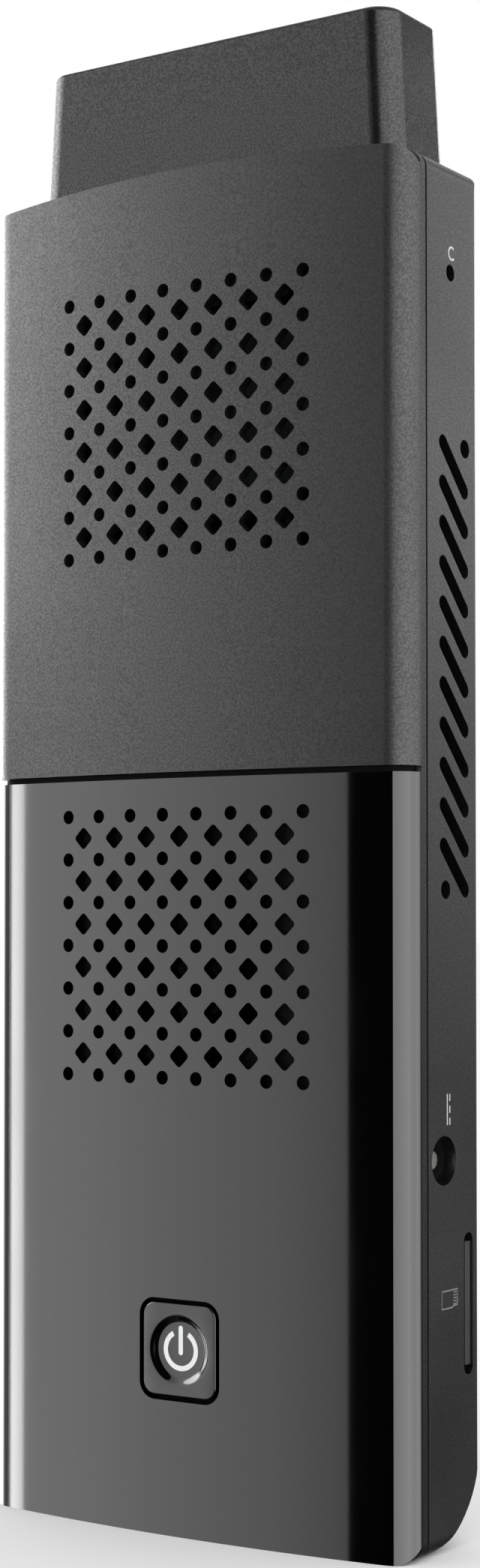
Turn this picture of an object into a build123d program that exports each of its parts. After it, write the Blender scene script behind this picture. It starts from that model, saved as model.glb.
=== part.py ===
from build123d import *
import math
import os

# A palm-sized computer that plugs straight into a display.
# Frame: millimetres, +X to the right seen from the front, front towards -Y, +Z out along the plug.
# The origin is on the plug's axis, at the face of the neck that the plug stands out of.

# Body, as it is seen from outside
plug_to_front = 9.0
plug_to_back = 5.2
neck_height = 2.2
front_radius = 164.5
front_edge_radius = 2.7
back_edge_radius = 0.5
outline_corner_radius = 1.5
top_bow = 0.95
tail_depth = 10.1
tail_rise = 8.5
end_edge_round = 0.3

# Walls, and the joint between the front covers and the rear shell
wall = 1.2
back_wall = 1.0
frame_front_y = -5.05
frame_back_y = -4.2
seam_gap = 0.25
seam_depth = 0.5
band_width = 5.6
groove_below_sink = 3.0
groove_above_fan = 2.9
groove_width = 0.56
groove_depth = 0.7
bridge_half_height = 2.4
bridge_thickness = 1.0
seat_clearance = 0.05

# Vent fields in the two covers: round holes with square ones set on their points between them
vent_pitch_x = 3.716
vent_pitch_z = 4.0
vent_columns = 8
vent_rows = 7
vent_hole_radius = 0.64
vent_hole_sides = 8
vent_square_side = 1.6
vent_land_margin = 1.0
vent_land_end = 0.94
upper_vent_below_top = 23.0
lower_vent_above_fan = 1.3

# Power button
key_above_bottom = 16.8
key_width = 7.95
key_height = 8.4
key_corner = 1.2
key_gap = 0.42
key_thickness = 1.2
key_travel = 0.4
dish_radius = 3.25
dish_floor_radius = 2.75
dish_depth = 0.32
flange_rim = 1.1
flange_thickness = 0.6
flange_gap = 0.3
stem_radius = 1.5
stem_gap = 0.2
symbol_radius = 1.66
symbol_stroke = 0.46
symbol_gap_angle = 58.0
symbol_bar_top = 2.2
symbol_bar_bottom = -0.45
symbol_depth = 0.7

# Cover over the plug
cap_side_step = 3.0
cap_narrowing = 1.5
cap_front_y = -4.45
cap_back_y = 4.65
cap_draft = 0.15
cap_front_corner = 2.5
cap_back_corner = 0.9
cap_wall = 1.0
cap_above_body = 13.1
cap_edge_round = 0.5
cap_gap = 0.3
cap_play = 0.15
neck_corner = 1.2

# Plug
plug_width = 13.9
plug_thickness = 4.45
plug_length = 9.4
plug_sheet = 0.35
plug_corner_cut_x = 1.5
plug_corner_cut_y = 1.3
plug_latch_width = 2.2
plug_latch_length = 1.8
plug_latch_spread = 5.6
plug_latch_from_tip = 3.2
plug_slot_width = 11.0
plug_slot_thickness = 1.9
plug_slot_depth = 7.6
plug_hold_width = 15.6
plug_hold_front = 2.7
plug_hold_depth = 6.0
plug_hold_drop = 0.3
plug_window_gap = 0.2
plug_contact_pitch = 1.0
plug_contact_width = 0.4
plug_contact_sheet = 0.15
plug_contact_length = 5.6
plug_front_contact_count = 10
plug_back_contact_count = 9

# Mainboard
board_front_y = 1.8
board_thickness = 0.8
board_side_gap = 2.5
board_below_top = 5.4
board_above_bottom = 6.4
board_corner = 1.0

# Screws that hold the case together, from the back
screw_inset = 5.1
screw_below_top = 22.8
screw_above_fan_end = 5.1
screw_radius = 0.95
screw_head_radius = 1.8
screw_head_height = 1.2
screw_recess = 0.3
screw_reach = 4.6
screw_bore_radius = 1.0
screw_pass_radius = 1.15
post_radius = 2.2
standoff_radius = 2.9
counterbore_radius = 2.0

# Side openings on the right
slot_count = 11
slot_pitch = 3.59
slot_first_below_top = 28.28
slot_y = 0.82
slot_run = 5.49
slot_lean = 45.0
slot_width = 1.44
pin_vent_radius = 0.84
pin_vent_upper_y = 2.88
pin_vent_above_slots = 1.92
pin_vent_lower_y = -0.78
pin_vent_below_slots = 1.97
reset_y = 0.27
reset_below_top = 10.9
reset_hole_radius = 0.75
inlet_y = -1.16
inlet_below_fan = 3.6
inlet_hole_radius = 2.2
card_slot_below_inlet = 13.05
card_slot_length = 12.7
card_slot_y = 3.25
card_slot_thickness = 1.7

# Side openings on the left
usb_below_fan = 7.3
usb_spacing = 2.5
usb_y = -0.6
usb_width = 13.1
usb_thickness = 5.7
usb_length = 13.8
usb_sheet = 0.35
usb_recess = 0.4
usb_window_gap = 0.15
usb_corner = 0.6
usb_tongue_width = 11.1
usb_tongue_thickness = 1.9
usb_tongue_length = 8.8
usb_tongue_shift = 0.95
usb_back_block = 3.0
usb_contact_count = 4
usb_contact_pitch = 2.3
usb_contact_width = 1.0
usb_contact_sheet = 0.25
usb_contact_length = 6.6
board_notch_gap = 0.25
audio_below_top = 12.3
audio_y = -1.0
audio_width = 6.0
audio_length = 12.2
audio_nose_radius = 2.3
audio_bore_radius = 1.8
audio_bore_length = 11.4
audio_window_gap = 0.2

# Reset switch, pressed with a pin through the side
reset_body_width = 3.6
reset_body_length = 3.4
reset_body_thickness = 2.6
reset_plunger_side = 1.2
reset_plunger_out = 0.7
reset_plunger_in = 1.2
reset_travel = 0.25
plunger_play = 0.06

# Power inlet
inlet_width = 7.0
inlet_length = 10.4
inlet_bore_radius = 2.1
inlet_bore_depth = 9.0
inlet_pin_radius = 0.8
inlet_pin_length = 9.1
inlet_ring_radius = 2.1
inlet_ring_wall = 0.22
inlet_ring_length = 2.4
inlet_ring_depth = 2.0

# Memory card socket
card_socket_width = 13.6
card_socket_length = 14.2
card_base = 0.4
card_sheet = 0.2
card_gap = 0.8
card_rail = 0.6

# Blank card that fills the memory card socket
blank_width = 11.0
blank_thickness = 0.7
blank_lip = 0.95
blank_lip_thickness = 1.0
blank_below_side = 0.25
blank_back_gap = 0.4

# Power switch under the button
switch_side = 6.0
switch_body_height = 3.3
switch_plunger_radius = 1.6
switch_plunger_out = 1.0
switch_plunger_in = 0.6
led_offset_x = 4.6
led_length = 1.6
led_width = 0.8
led_height = 0.6

# Chips and heat path
soc_x = 1.5
soc_inside_sink = 3.1
soc_height = 1.1
soc_die_side = 10.0
soc_die_height = 0.3
pad_thickness = 0.4
sink_side_gap = 6.5
sink_below_top = 29.4
sink_height = 23.2
sink_base = 1.0
sink_fin_count = 12
sink_fin_thickness = 0.8
sink_front_gap = 0.4
sink_ear = 3.2
sink_screw_radius = 0.9
sink_screw_head_radius = 1.6
sink_screw_head_height = 1.0
memory_spacing = 1.6
memory_edge = 1.8
memory_height = 11.0
memory_thickness = 1.0
memory_count = 4
storage_width = 11.5
storage_height = 13.0
storage_thickness = 1.0
storage_x = -3.0
storage_below_groove = 8.2
radio_x = 6.2
radio_below_top = 18.4
radio_width = 12.0
radio_height = 12.6
radio_thickness = 2.0
radio_board = 0.6
radio_rim = 0.5
aerial_x = 13.0
aerial_below_top = 7.4
aerial_length = 5.0
aerial_width = 2.0
aerial_height = 1.1
coil_side = 4.2
coil_height = 2.0
coil_x = 5.4
coil_below_fan = 3.3
coil_pitch = 5.4
coil_count = 3
codec_side = 5.0
codec_height = 0.9
codec_x = -4.6
codec_below_top = 19.4
codec_pitch = 7.0
codec_count = 2

# Blower
fan_half = 14.0
fan_side_room = 9.1
fan_end_room = 38.1
fan_front_y = -6.9
fan_back_y = -0.9
fan_wall = 0.8
fan_plate = 0.7
fan_lid_sheet = 0.5
fan_intake_inset = 4.4
fan_foot_radius = 1.6
fan_foot_inset = 1.9
fan_scroll_inset = 1.0
rotor_inset = 2.4
rotor_hub_share = 0.4483
rotor_hub_wall = 0.7
rotor_disc_share = 0.7414
rotor_disc = 0.6
rotor_front_gap = 0.5
rotor_back_gap = 0.5
rotor_blade_count = 13
rotor_blade_thickness = 0.5
rotor_blade_overlap = 0.3
rotor_blade_bend_share = 0.3333
rotor_blade_sweep = 24.0
shaft_radius = 0.75
shaft_play = 0.03
shaft_boss_radius = 1.6
shaft_boss_height = 0.6
coil_ring_gap = 0.9
coil_ring_inner_gap = 0.3
coil_ring_height = 1.6
fan_lead_width = 2.4
fan_lead_thickness = 0.5
fan_plug_width = 4.4
fan_plug_height = 1.5
fan_plug_length = 2.6
fan_plug_x = -2.4
fan_plug_below_fan = 3.7

# How far a cutting solid runs past what it cuts
overrun = 2.0

# Across the body, from the blower outwards
half_width = fan_half + fan_side_room
body_width = 2 * half_width
screw_x = half_width - screw_inset
board_half_width = half_width - board_side_gap
sink_right_x = half_width - sink_side_gap
sink_left_x = -sink_right_x
memory_pitch = 2 * (board_half_width - memory_edge) / memory_count
memory_width = memory_pitch - memory_spacing
cap_rim_width = body_width - 2 * cap_side_step

# Along the body, from the plug's end down
body_top = -neck_height
board_top_z = body_top - board_below_top
aerial_z = body_top - aerial_below_top
reset_z = body_top - reset_below_top
audio_z = body_top - audio_below_top
radio_z = body_top - radio_below_top
codec_z = body_top - codec_below_top
screw_upper_z = body_top - screw_below_top
upper_vent_z = body_top - upper_vent_below_top
slot_first_z = body_top - slot_first_below_top
slot_last_z = slot_first_z - (slot_count - 1) * slot_pitch
pin_vent_upper_z = slot_first_z + pin_vent_above_slots
pin_vent_lower_z = slot_last_z - pin_vent_below_slots
sink_top_z = body_top - sink_below_top
sink_bottom_z = sink_top_z - sink_height
soc_z = (sink_top_z + sink_bottom_z) / 2
soc_side = sink_height - 2 * soc_inside_sink
memory_z = soc_z
groove_z = sink_bottom_z - groove_below_sink
storage_z = groove_z - storage_below_groove
fan_z = groove_z - groove_above_fan - fan_half
lower_vent_z = fan_z + lower_vent_above_fan
fan_end_z = fan_z - fan_half
screw_lower_z = fan_end_z + screw_above_fan_end
inlet_z = fan_end_z - inlet_below_fan
coil_first_z = fan_end_z - coil_below_fan
fan_plug_z = fan_end_z - fan_plug_below_fan
usb_z_upper = fan_end_z - usb_below_fan
usb_z_lower = usb_z_upper - usb_width - usb_spacing
card_slot_z = inlet_z - card_slot_below_inlet
body_bottom = fan_end_z - fan_end_room
board_bottom_z = body_bottom + board_above_bottom
key_z = body_bottom + key_above_bottom

# From the front to the back, and inside the blower
front_y = -plug_to_front
back_y = plug_to_back
fan_intake_radius = fan_half - fan_intake_inset
fan_scroll_radius = fan_half - fan_scroll_inset
rotor_radius = fan_half - rotor_inset
rotor_hub_radius = rotor_radius * rotor_hub_share
rotor_disc_radius = rotor_radius * rotor_disc_share
rotor_blade_root = rotor_hub_radius - rotor_blade_overlap
coil_ring_radius = rotor_hub_radius - rotor_hub_wall - coil_ring_gap
coil_ring_inner = shaft_boss_radius + coil_ring_inner_gap
board_back_y = board_front_y + board_thickness
inner_side_x = half_width - wall
cap_top_z = body_top + cap_above_body
screw_places = [
    (side * screw_x, z)
    for z in (screw_upper_z, screw_lower_z)
    for side in (-1, 1)
]

os.makedirs("parts", exist_ok=True)


def save(shape, name):
    export_step(shape, f"parts/{name}.step")


def prism_x(sketch, x0, x1):
    # The sketch's axes are Y and Z.
    return extrude(Plane.YZ.offset(x0) * sketch, amount=x1 - x0, dir=(1, 0, 0))


def prism_y(sketch, y0, y1):
    # The sketch's axes are X and Z.
    return extrude(Plane.XZ.offset(-y0) * sketch, amount=y1 - y0, dir=(0, 1, 0))


def prism_z(sketch, z0, z1):
    # The sketch's axes are X and Y.
    return extrude(Plane.XY.offset(z0) * sketch, amount=z1 - z0, dir=(0, 0, 1))


def block(x0, x1, y0, y1, z0, z1):
    centre = Pos((x0 + x1) / 2, (y0 + y1) / 2, (z0 + z1) / 2)
    return centre * Box(x1 - x0, y1 - y0, z1 - z0)


def disc_y(x, z, radius, y0, y1):
    return prism_y(Pos(x, z) * Circle(radius), y0, y1)


def disc_x(y, z, radius, x0, x1):
    return prism_x(Pos(y, z) * Circle(radius), x0, x1)


def chip(x, z, width, height, y0, y1):
    return block(x - width / 2, x + width / 2, y0, y1, z - height / 2, z + height / 2)


def crown_y(x, inset):
    # Depth of the crowned front at a place across its width.
    radius = front_radius - inset
    return front_y + inset + radius - math.sqrt(radius**2 - x**2)


def plan_outline(side, front, back):
    # The body cut across its length: a crowned front, rounded edges, a flat back.
    half = half_width - side
    shoulder = crown_y(half, front)
    rear = back_y - back
    crown = ThreePointArc((-half, shoulder), (0, front_y + front), (half, shoulder))
    sides = Polyline((half, shoulder), (half, rear), (-half, rear), (-half, shoulder))
    face = make_face([crown, sides])
    front_corners = face.vertices().filter_by(lambda v: v.Y < 0)
    back_corners = face.vertices().filter_by(lambda v: v.Y > 0)
    rounded = fillet(front_corners, front_edge_radius - front)
    back_corners = rounded.vertices().group_by(Axis.Y)[-1]
    return fillet(back_corners, max(back_edge_radius - back, end_edge_round))


def front_outline(side, end):
    # The body seen from the front: the top end bows up a little in the middle.
    half = half_width - side
    top = body_top - end
    bottom = body_bottom + end
    bow = ThreePointArc((-half, top - top_bow), (0, top), (half, top - top_bow))
    rest = Polyline((half, top - top_bow), (half, bottom), (-half, bottom), (-half, top - top_bow))
    face = make_face([bow, rest])
    return fillet(face.vertices(), max(outline_corner_radius - end, end_edge_round))


def side_outline(end, front, back):
    # The body seen from its side: the back sweeps round into the bottom end.
    low = body_bottom + end
    rear = back_y - back
    near = front_y + front
    depth = tail_depth - back
    rise = tail_rise - end
    tail = EllipticalCenterArc((rear - depth, low + rise), depth, rise, start_angle=-90, arc_size=90)
    rest = Polyline(
        (rear, low + rise),
        (rear, body_top + overrun),
        (near, body_top + overrun),
        (near, low),
        (rear - depth, low),
    )
    return make_face([tail, rest])


def end_outline(end):
    # The two ends alone, drawn wider than the body.
    bow_radius = (half_width**2 + top_bow**2) / (2 * top_bow)
    half = half_width + overrun
    top = body_top - end
    bottom = body_bottom + end
    low = top - bow_radius + math.sqrt(bow_radius**2 - half**2)
    bow = ThreePointArc((-half, low), (0, top), (half, low))
    rest = Polyline((half, low), (half, bottom), (-half, bottom), (-half, low))
    return make_face([bow, rest])


def body_outside():
    across = prism_z(plan_outline(0, 0, 0), body_bottom - overrun, body_top + overrun)
    facing = prism_y(front_outline(0, 0), front_y - overrun, back_y + overrun)
    beside = prism_x(side_outline(0, 0, 0), -body_width, body_width)
    return across & facing & beside


def body_inside(side, end, front, back):
    # The body taken in by a given amount on each kind of face.
    across = prism_z(plan_outline(side, front, back), body_bottom - overrun, body_top + overrun)
    facing = prism_y(end_outline(end), front_y - overrun, back_y + overrun)
    beside = prism_x(side_outline(end, front, back), -body_width, body_width)
    return across & facing & beside


def slab_y(y0, y1):
    return block(-body_width, body_width, y0, y1, body_bottom - overrun, body_top + overrun)


def vent_field(z):
    round_hole = RegularPolygon(vent_hole_radius, vent_hole_sides)
    square_hole = Rot(0, 0, 45) * Rectangle(vent_square_side, vent_square_side)
    rounds = GridLocations(vent_pitch_x, vent_pitch_z, vent_columns, vent_rows)
    squares = GridLocations(vent_pitch_x, vent_pitch_z, vent_columns - 1, vent_rows - 1)
    holes = [place * round_hole for place in rounds] + [place * square_hole for place in squares]
    tools = [prism_y(Pos(0, z) * hole, front_y - overrun, frame_back_y) for hole in holes]
    return tools


def vent_land_y():
    return crown_y(vent_land_half(), wall)


def vent_land_half():
    return vent_pitch_x * (vent_columns - 1) / 2 + vent_land_margin


def vent_lands():
    # Flat lands on the inside, which all the vent holes open into.
    half_z = vent_pitch_z * (vent_rows - 1) / 2 + vent_land_end
    width = 2 * vent_land_half()
    return [chip(0, z, width, 2 * half_z, front_y, vent_land_y()) for z in (upper_vent_z, lower_vent_z)]


def front_pan():
    # Both covers before the groove parts them: a dished pan, open at the back.
    outside = body_outside() & slab_y(front_y - overrun, frame_front_y)
    inside = body_inside(wall, wall, wall, 0)
    return outside - (inside - vent_lands())


def key_opening():
    outline = RectangleRounded(key_width + 2 * key_gap, key_height + 2 * key_gap, key_corner + key_gap)
    return prism_y(Pos(0, key_z) * outline, front_y - overrun, frame_front_y)


def covers():
    pan = front_pan()
    high = groove_z + groove_width / 2
    low = groove_z - groove_width / 2
    above = block(-body_width, body_width, front_y - overrun, back_y, high, body_top + overrun)
    below = block(-body_width, body_width, front_y - overrun, back_y, body_bottom - overrun, low)
    upper = (pan & above) - vent_field(upper_vent_z)
    lower = (pan & below) - vent_field(lower_vent_z) - key_opening()
    return upper, lower


def front_frame():
    # The carrier of both covers: a rim that shows as a thin line, a bridge behind the groove, four posts.
    rim = body_outside() & slab_y(frame_front_y, frame_back_y)
    window = prism_y(front_outline(band_width, wall), frame_front_y - overrun, frame_back_y + overrun)
    reach = wall + seat_clearance
    deep = reach + bridge_thickness
    arch = body_inside(reach, reach, reach, 0) - body_inside(deep, reach, deep, 0)
    bridge = arch & chip(0, groove_z, body_width, 2 * bridge_half_height, front_y, frame_back_y)
    rib_form = body_inside(groove_depth, groove_depth, groove_depth, 0) - body_inside(reach, reach, reach, 0)
    rib_width = groove_width - 2 * seat_clearance
    rib = rib_form & chip(0, groove_z, body_width, rib_width, front_y, frame_back_y)
    frame = (rim - window) + bridge + rib
    for x, z in screw_places:
        frame += disc_y(x, z, post_radius, frame_front_y, board_front_y)
    for x, z in screw_places:
        frame -= disc_y(x, z, screw_bore_radius, board_back_y - screw_reach, board_front_y + overrun)
    return frame


def neck_outline(grow):
    width = cap_rim_width - 2 * (cap_wall + cap_play + cap_draft) + 2 * grow
    near = cap_front_y + cap_wall + cap_play - grow
    far = cap_back_y - cap_wall - cap_play + grow
    return Pos(0, (near + far) / 2) * RectangleRounded(width, far - near, neck_corner)


def side_slots():
    tools = []
    slot = Rot(0, 0, -slot_lean) * SlotCenterToCenter(slot_run, slot_width)
    for index in range(slot_count):
        z = slot_first_z - index * slot_pitch
        tools.append(prism_x(Pos(slot_y, z) * slot, inner_side_x - overrun, half_width + overrun))
    return tools


def right_openings():
    far = half_width + overrun
    near = inner_side_x - overrun
    tools = side_slots()
    tools.append(disc_x(pin_vent_upper_y, pin_vent_upper_z, pin_vent_radius, near, far))
    tools.append(disc_x(pin_vent_lower_y, pin_vent_lower_z, pin_vent_radius, near, far))
    tools.append(disc_x(reset_y, reset_z, reset_hole_radius, near, far))
    tools.append(disc_x(inlet_y, inlet_z, inlet_hole_radius, near, far))
    card = Rot(0, 0, 90) * SlotOverall(card_slot_length, card_slot_thickness)
    tools.append(prism_x(Pos(card_slot_y, card_slot_z) * card, near, far))
    return tools


def left_openings():
    near = -half_width - overrun
    far = -inner_side_x + overrun
    thick = usb_thickness + 2 * usb_window_gap
    tall = usb_width + 2 * usb_window_gap
    window = RectangleRounded(thick, tall, usb_corner + usb_window_gap)
    tools = [prism_x(Pos(usb_y, z) * window, near, far) for z in (usb_z_upper, usb_z_lower)]
    tools.append(disc_x(audio_y, audio_z, audio_nose_radius + audio_window_gap, near, far))
    return tools


def rear_shell():
    outside = body_outside()
    rim_cut = slab_y(front_y - overrun, frame_back_y)
    shell = (outside - rim_cut) - body_inside(wall, wall, wall, back_wall)
    # The outer part of the rim stops short of the frame, which leaves a dark line round the body.
    lip = body_outside() - body_inside(seam_depth, seam_depth, seam_depth, 0)
    shell -= lip & slab_y(front_y, frame_back_y + seam_gap)
    shell += prism_z(neck_outline(0), body_top - wall, 0)
    window_width = plug_width + 2 * plug_window_gap
    window_depth = plug_thickness + 2 * plug_window_gap
    plug_window = RectangleRounded(window_width, window_depth, plug_window_gap)
    shell -= prism_z(plug_window, body_top - wall - overrun, overrun)
    for x, z in screw_places:
        shell += disc_y(x, z, standoff_radius, board_back_y, back_y - back_wall / 2)
    for x, z in screw_places:
        shell -= disc_y(x, z, screw_pass_radius, board_back_y - overrun, back_y + overrun)
        shell -= disc_y(x, z, counterbore_radius, screw_seat_y(), back_y + overrun)
    return shell - right_openings() - left_openings()


def screw_seat_y():
    return back_y - screw_recess - screw_head_height


def case_screws():
    seat = screw_seat_y()
    tip = board_back_y - screw_reach + seat_clearance
    screws = []
    for x, z in screw_places:
        head = disc_y(x, z, screw_head_radius, seat, seat + screw_head_height)
        screws.append(head + disc_y(x, z, screw_radius, tip, seat))
    return Compound(children=screws)


def cap_form(inset, top):
    # A block that narrows a little towards its top, its corners wider at the front.
    start = body_top - top_bow
    rise = cap_top_z - start
    share = (top - start) / rise
    low_half = cap_rim_width / 2 - inset
    top_half = low_half - share * cap_narrowing / 2
    near = cap_front_y + inset
    far = cap_back_y - inset
    lean = share * cap_draft
    facing = Polyline((-low_half, start), (low_half, start), (top_half, top), (-top_half, top), close=True)
    beside = Polyline((near, start), (far, start), (far - lean, top), (near + lean, top), close=True)
    form = prism_y(make_face(facing), near - overrun, far + overrun)
    form = form & prism_x(make_face(beside), -body_width, body_width)
    front_corner = cap_front_corner - inset
    back_corner = max(cap_back_corner - inset, end_edge_round)
    corners = form.edges().filter_by(is_upright)
    form = fillet(corners.filter_by(lambda e: e.center().Y < 0), front_corner)
    corners = form.edges().filter_by(is_upright)
    return fillet(corners.filter_by(lambda e: e.center().Y > cap_back_y / 2), back_corner)


def is_upright(edge):
    size = edge.bounding_box().size
    return size.Z > size.X + size.Y


def hdmi_cap():
    outside = cap_form(0, cap_top_z)
    outside = fillet(outside.edges().group_by(Axis.Z)[-1], cap_edge_round)
    inside = cap_form(cap_wall, cap_top_z - cap_wall)
    bow = prism_y(front_outline(0, 0), front_y, back_y)
    seat = Pos(0, 0, cap_gap) * bow
    return outside - inside - seat


def plug_outline(inset):
    # A flat oblong with its two back corners cut away.
    half = plug_width / 2 - inset
    near = -plug_thickness / 2 + inset
    far = plug_thickness / 2 - inset
    cut_x = plug_corner_cut_x
    cut_y = plug_corner_cut_y
    points = [(-half, near), (half, near), (half, far - cut_y), (half - cut_x, far)]
    points += [(cut_x - half, far), (-half, far - cut_y)]
    face = make_face(Polyline(*points, close=True))
    return fillet(face.vertices(), plug_sheet)


def plug_hold_top():
    return body_top - wall - plug_hold_drop


def hdmi_plug_shell():
    shell = prism_z(plug_outline(0), plug_hold_top(), plug_length)
    shell -= prism_z(plug_outline(plug_sheet), plug_hold_top() - overrun, plug_length + overrun)
    tip = plug_length - plug_latch_from_tip
    for side in (-1, 1):
        x = side * plug_latch_spread / 2
        shell -= chip(x, tip, plug_latch_width, plug_latch_length, -plug_thickness, plug_thickness)
    return shell


def hdmi_plug_core():
    # The insulating body: it fills the shell, is hollow at the tip, and straddles the board inside.
    top = plug_hold_top()
    fill = prism_z(plug_outline(plug_sheet + seat_clearance), top, plug_length - plug_sheet)
    slot = Rectangle(plug_slot_width, plug_slot_thickness)
    fill -= prism_z(slot, plug_length - plug_slot_depth, plug_length + overrun)
    low = board_top_z - plug_hold_depth
    half = plug_hold_width / 2
    hold = block(-half, half, -plug_hold_front, board_front_y, low, top)
    return fill + hold


def hdmi_contacts():
    top = plug_length - 2 * plug_sheet
    half = plug_slot_thickness / 2
    strips = []
    for count, y0 in ((plug_front_contact_count, -half), (plug_back_contact_count, half - plug_contact_sheet)):
        for index in range(count):
            x = (index - (count - 1) / 2) * plug_contact_pitch
            strips.append(
                block(
                    x - plug_contact_width / 2,
                    x + plug_contact_width / 2,
                    y0,
                    y0 + plug_contact_sheet,
                    top - plug_contact_length,
                    top,
                )
            )
    return Compound(children=strips)


def mainboard():
    middle = (board_top_z + board_bottom_z) / 2
    plate = RectangleRounded(2 * board_half_width, board_top_z - board_bottom_z, board_corner)
    board = prism_y(Pos(0, middle) * plate, board_front_y, board_back_y)
    inner_end = -half_width + usb_recess + usb_length + board_notch_gap
    tall = usb_width / 2 + board_notch_gap
    near = board_front_y - overrun
    far = board_back_y + overrun
    for z in (usb_z_upper, usb_z_lower):
        board -= block(-half_width, inner_end, near, far, z - tall, z + tall)
    for x, z in screw_places + sink_screw_places():
        board -= disc_y(x, z, screw_pass_radius, near, far)
    return board


def soc_package():
    base_y = board_front_y - (soc_height - soc_die_height)
    die = chip(soc_x, soc_z, soc_die_side, soc_die_side, board_front_y - soc_height, base_y)
    return chip(soc_x, soc_z, soc_side, soc_side, base_y, board_front_y) + die


def sink_back_y():
    return board_front_y - soc_height - pad_thickness


def thermal_pad():
    return chip(soc_x, soc_z, soc_die_side, soc_die_side, sink_back_y(), board_front_y - soc_height)


def sink_screw_places():
    ear_x = sink_right_x - sink_ear / 2
    return [(-ear_x, sink_top_z - sink_ear / 2), (ear_x, sink_bottom_z + sink_ear / 2)]


def heatsink():
    back = sink_back_y()
    base_y = back - sink_base
    sink = block(sink_left_x, sink_right_x, base_y, back, sink_bottom_z, sink_top_z)
    span = sink_right_x - sink_left_x - sink_fin_thickness
    for index in range(sink_fin_count):
        x = sink_left_x + sink_fin_thickness / 2 + span * index / (sink_fin_count - 1)
        near = x - sink_fin_thickness / 2
        far = x + sink_fin_thickness / 2
        tip = max(vent_land_y(), crown_y(max(abs(near), abs(far)), wall)) + sink_front_gap
        sink += block(near, far, tip, base_y, sink_bottom_z, sink_top_z)
    for x, z in sink_screw_places():
        sink -= chip(x, z, 2 * sink_ear, sink_ear, front_y, base_y)
        sink -= disc_y(x, z, sink_screw_radius + seat_clearance, front_y, back + overrun)
    return sink


def sink_screws():
    seat = sink_back_y() - sink_base
    screws = []
    for x, z in sink_screw_places():
        head = disc_y(x, z, sink_screw_head_radius, seat - sink_screw_head_height, seat)
        shank = disc_y(x, z, sink_screw_radius, seat, board_back_y)
        screws.append(head + shank)
    return Compound(children=screws)


def memory_chips():
    chips = []
    far = board_back_y + memory_thickness
    for index in range(memory_count):
        x = (index - (memory_count - 1) / 2) * memory_pitch
        chips.append(chip(x, memory_z, memory_width, memory_height, board_back_y, far))
    return Compound(children=chips)


def storage_chip():
    far = board_back_y + storage_thickness
    return chip(storage_x, storage_z, storage_width, storage_height, board_back_y, far)


def radio_module():
    base_y = board_front_y - radio_board
    can_y = board_front_y - radio_thickness
    base = chip(radio_x, radio_z, radio_width, radio_height, base_y, board_front_y)
    can = chip(radio_x, radio_z, radio_width - 2 * radio_rim, radio_height - 2 * radio_rim, can_y, base_y)
    return base + can


def chip_aerial():
    return chip(aerial_x, aerial_z, aerial_length, aerial_width, board_front_y - aerial_height, board_front_y)


def power_coils():
    coils = []
    for index in range(coil_count):
        z = coil_first_z - index * coil_pitch
        coils.append(chip(coil_x, z, coil_side, coil_side, board_front_y - coil_height, board_front_y))
    return Compound(children=coils)


def support_chips():
    chips = []
    for index in range(codec_count):
        x = codec_x - index * codec_pitch
        chips.append(chip(x, codec_z, codec_side, codec_side, board_front_y - codec_height, board_front_y))
    return Compound(children=chips)


def usb_shell(z):
    mouth = -half_width + usb_recess
    back = mouth + usb_length
    inner_thickness = usb_thickness - 2 * usb_sheet
    inner_width = usb_width - 2 * usb_sheet
    outer = Pos(usb_y, z) * RectangleRounded(usb_thickness, usb_width, usb_corner)
    inner = Pos(usb_y, z) * RectangleRounded(inner_thickness, inner_width, usb_corner - usb_sheet)
    return prism_x(outer, mouth, back) - prism_x(inner, mouth - overrun, back - usb_sheet)


def usb_tongue_back_x():
    return -half_width + usb_recess + usb_length - usb_sheet - seat_clearance


def usb_tongue(z):
    # The block at the back of the port and the tongue that carries the contacts.
    back = usb_tongue_back_x()
    inset = 2 * (usb_sheet + seat_clearance)
    fill = RectangleRounded(usb_thickness - inset, usb_width - inset, usb_corner - usb_sheet)
    rear = prism_x(Pos(usb_y, z) * fill, back - usb_back_block, back)
    middle = usb_y + usb_tongue_shift
    tongue = block(
        back - usb_back_block - usb_tongue_length,
        back - usb_back_block,
        middle - usb_tongue_thickness / 2,
        middle + usb_tongue_thickness / 2,
        z - usb_tongue_width / 2,
        z + usb_tongue_width / 2,
    )
    return rear + tongue


def usb_contacts(z):
    face = usb_y + usb_tongue_shift - usb_tongue_thickness / 2
    back = usb_tongue_back_x() - usb_back_block
    strips = []
    for index in range(usb_contact_count):
        middle = z + (index - (usb_contact_count - 1) / 2) * usb_contact_pitch
        strips.append(
            block(
                back - usb_contact_length,
                back,
                face - usb_contact_sheet,
                face,
                middle - usb_contact_width / 2,
                middle + usb_contact_width / 2,
            )
        )
    return Compound(children=strips)


def audio_jack():
    mouth = -half_width + usb_recess
    shoulder = -inner_side_x + seat_clearance
    near = 2 * audio_y - board_front_y
    half = audio_width / 2
    body = block(shoulder, mouth + audio_length, near, board_front_y, audio_z - half, audio_z + half)
    nose = disc_x(audio_y, audio_z, audio_nose_radius, mouth, shoulder)
    bore = disc_x(audio_y, audio_z, audio_bore_radius, mouth - overrun, mouth + audio_bore_length)
    return body + nose - bore


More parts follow.
